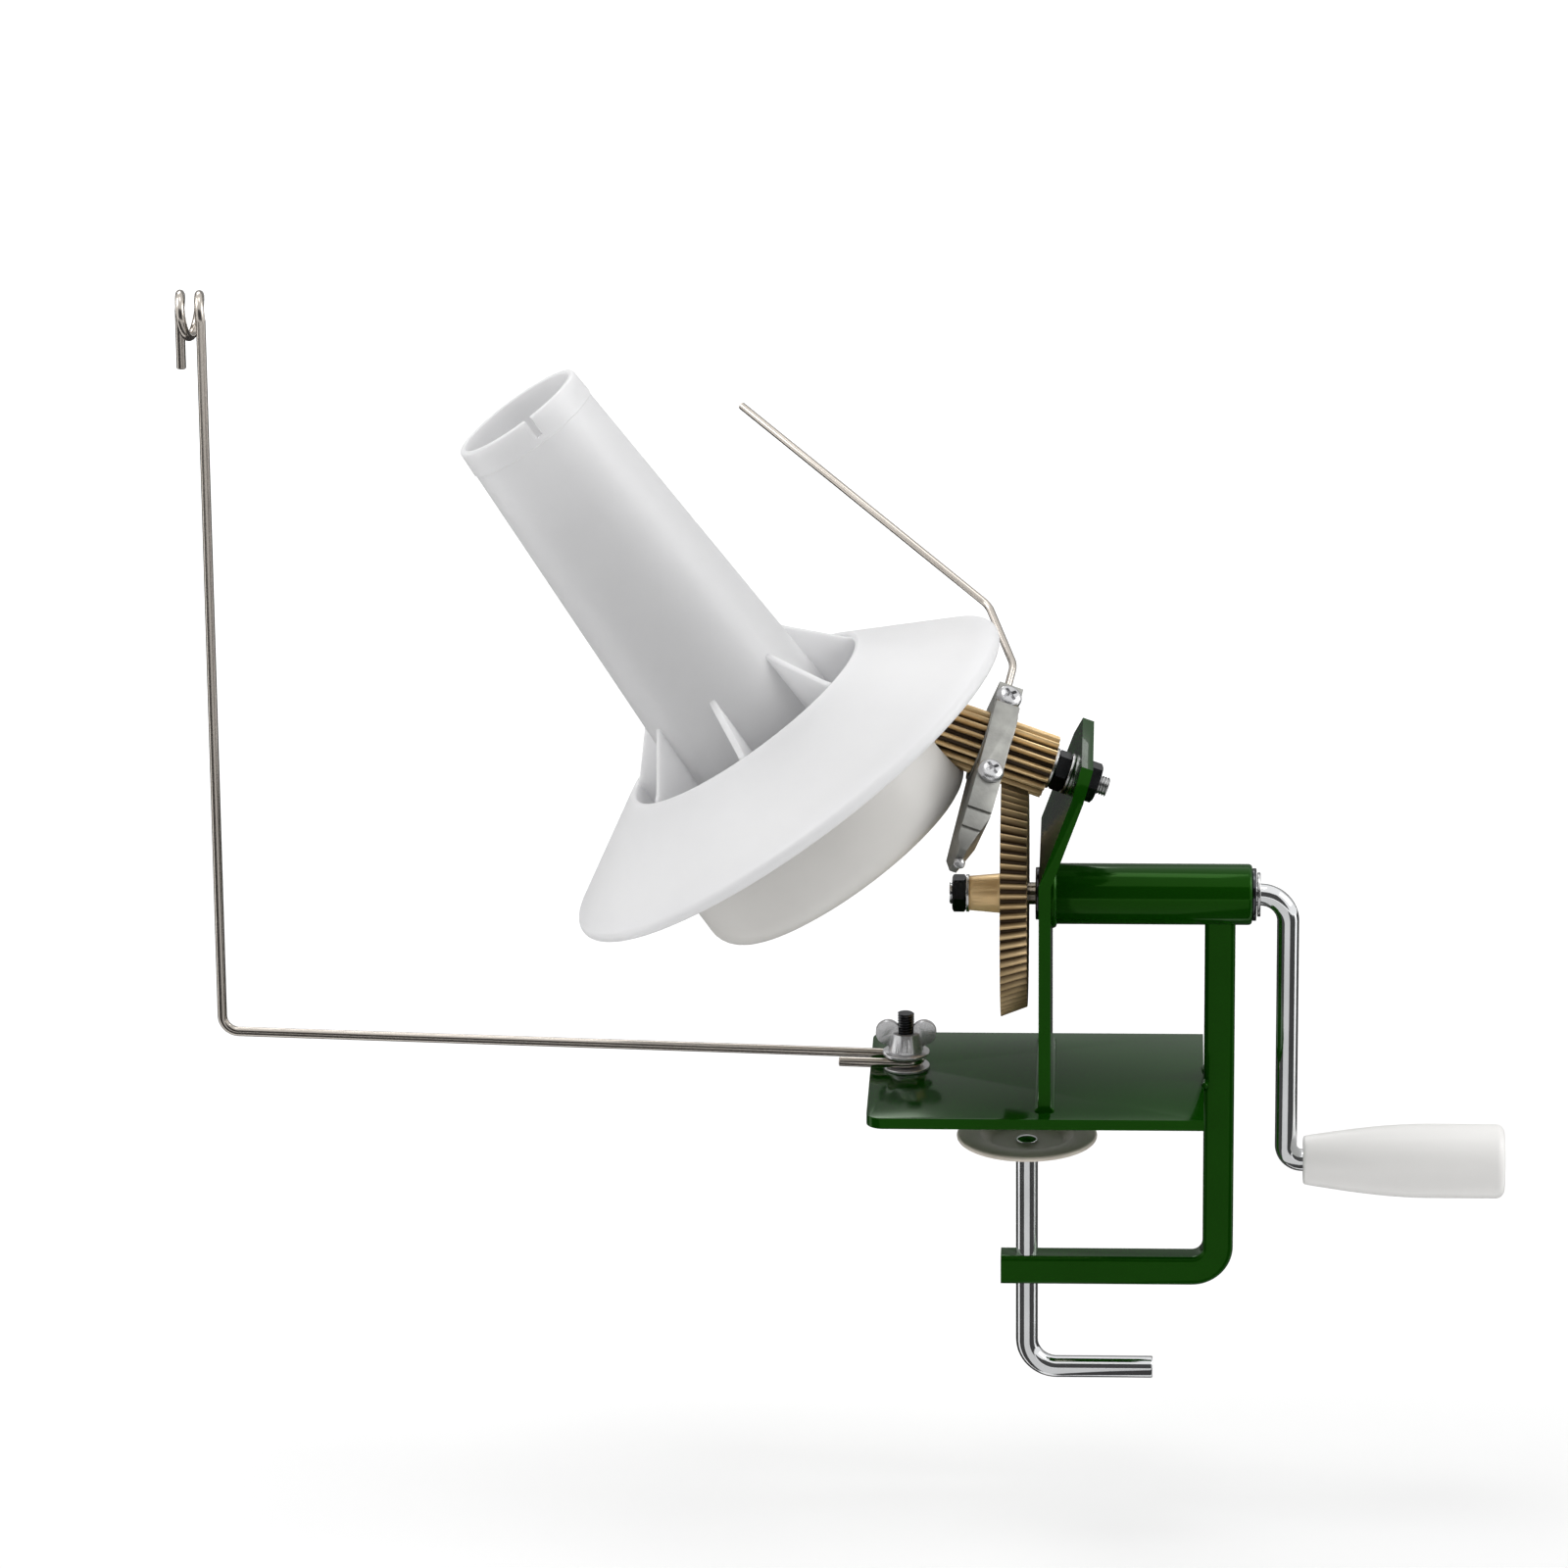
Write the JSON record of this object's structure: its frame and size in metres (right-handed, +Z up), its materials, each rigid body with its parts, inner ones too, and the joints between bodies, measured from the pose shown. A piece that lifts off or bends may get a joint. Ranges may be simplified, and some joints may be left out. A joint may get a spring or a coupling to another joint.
{
  "type": "yarn ball winder",
  "caption": "Hand-cranked yarn ball winder with a slanted winding cone, a geared flyer, a wire yarn guide and a table clamp.",
  "frame": {"origin": "on the table face under the base plate, on the clamp screw's axis", "axes": "+Z up from the table, +X along the crank from the cone to the grip, +Y to the back"},
  "size_m": [0.48, 0.2294, 0.4],
  "materials": {
    "green_enamel": "gloss enamel",
    "white_plastic": "satin moulded",
    "grip_plastic": "gloss moulded",
    "brass": "machined",
    "zinc": "die cast",
    "zinc_plate": "bright zinc",
    "bright_steel": "bright",
    "black_steel": "black oxide",
    "chrome": "polished",
    "nickel_wire": "nickel",
    "nickel_pad": "stamped nickel",
    "nylon": "moulded"
  },
  "bodies": {
    "frame": {"base_plate": "green_enamel", "gear_upright": "green_enamel", "bearing_tube": "green_enamel", "clamp_frame": "green_enamel", "tube_bushes": "black_steel", "pinion_axle": "bright_steel", "axle_nuts": "black_steel", "axle_washers": "bright_steel", "gear_cover": "white_plastic", "cone_axle": "bright_steel", "cone_washers": "bright_steel", "cone_nut": "bright_steel", "guide_stud": "black_steel", "stud_washer": "bright_steel"},
    "crank": {"crank_rod": "chrome", "drive_gear": "brass", "gear_washer": "bright_steel", "gear_nut": "black_steel", "thrust_washer": "bright_steel", "grip_retainer": "bright_steel"},
    "grip": {"handle_grip": "grip_plastic"},
    "flyer": {"pinion": "brass", "flyer_arm": "zinc", "flyer_wire": "nickel_wire", "arm_screws": "bright_steel", "balance_screw": "bright_steel"},
    "cone": {"bobbin_cone": "white_plastic", "cone_gear": "brass", "cone_bush": "nylon", "gear_screws": "bright_steel"},
    "pad": {"clamp_pad": "nickel_pad"},
    "screw": {"clamp_screw": "chrome"},
    "guide": {"guide_arm": "nickel_wire"},
    "washer": {"nut_washer": "bright_steel"},
    "nut": {"wing_nut": "zinc_plate"}
  },
  "joints": [
    {"name": "crank_spin", "type": "hinge", "parent": "frame", "child": "crank", "pos_m": [0, 0, 0.074], "axis": [1, 0, 0], "continuous": true},
    {"name": "grip_spin", "type": "hinge", "parent": "crank", "child": "grip", "pos_m": [0, 0, -0.028], "axis": [1, 0, 0], "continuous": true},
    {"name": "flyer_spin", "type": "hinge", "parent": "frame", "child": "flyer", "pos_m": [-0.00086, 0, 0.12513], "axis": [0.9397, 0, -0.342], "continuous": true},
    {"name": "cone_spin", "type": "hinge", "parent": "frame", "child": "cone", "pos_m": [-0.07187, 0, 0.09785], "axis": [0.5736, 0, -0.8192], "continuous": true},
    {"name": "pad_slide", "type": "slide", "parent": "frame", "child": "pad", "axis": [0, 0, 1], "range_m": [-0.0376, 0.0176]},
    {"name": "screw_turn", "type": "hinge", "parent": "pad", "child": "screw", "pos_m": [0, 0, 0], "axis": [0, 0, 1], "range_deg": [-10800, 5040]},
    {"name": "guide_swing", "type": "hinge", "parent": "frame", "child": "guide", "pos_m": [-0.044, 0.008, 0], "axis": [0, 0, 1], "range_deg": [-75, 75]},
    {"name": "washer_lift", "type": "slide", "parent": "frame", "child": "washer", "axis": [0, 0, 1], "range_m": [0, 0.00301]},
    {"name": "nut_turn", "type": "hinge", "parent": "washer", "child": "nut", "pos_m": [-0.044, 0.008, 0], "axis": [0, 0, 1], "range_deg": [0, 1080]}
  ],
  "couplings": [
    {"joint": "flyer_spin", "follows": "crank_spin", "ratio": -4},
    {"joint": "cone_spin", "follows": "crank_spin", "ratio": 0.85714},
    {"joint": "pad_slide", "follows": "screw_turn", "m_per_rad": 0.00019894},
    {"joint": "washer_lift", "follows": "nut_turn", "m_per_rad": 0.00015915}
  ]
}
